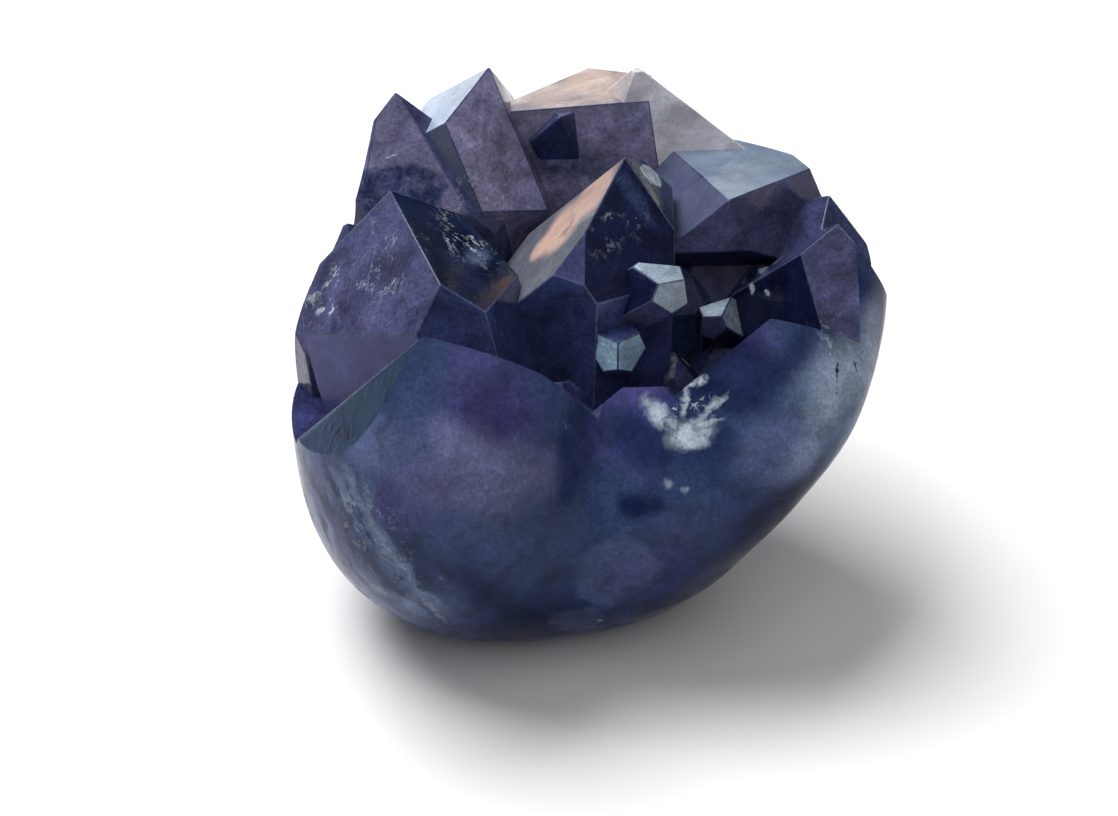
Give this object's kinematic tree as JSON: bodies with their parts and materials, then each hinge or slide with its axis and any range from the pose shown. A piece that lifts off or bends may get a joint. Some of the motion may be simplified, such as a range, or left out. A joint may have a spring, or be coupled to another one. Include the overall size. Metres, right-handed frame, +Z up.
{
  "type": "amethyst heart",
  "caption": "Chunky heart of natural amethyst: sides and base ground and polished, the upper face left as a rough cluster of flat-faced crystal points, resting on a small flat",
  "frame": {"origin": "middle of the bounding box's base, on the plane of the small flat that the heart rests on", "axes": "+X runs across the two lobes to the right lobe, +Y from the cleft towards the heart's point, +Z up, out of the crystal face"},
  "size_m": [0.0586, 0.0528, 0.048],
  "materials": {
    "amethyst": "polished"
  },
  "bodies": {
    "root": {"amethyst_heart": "amethyst"}
  },
  "joints": []
}
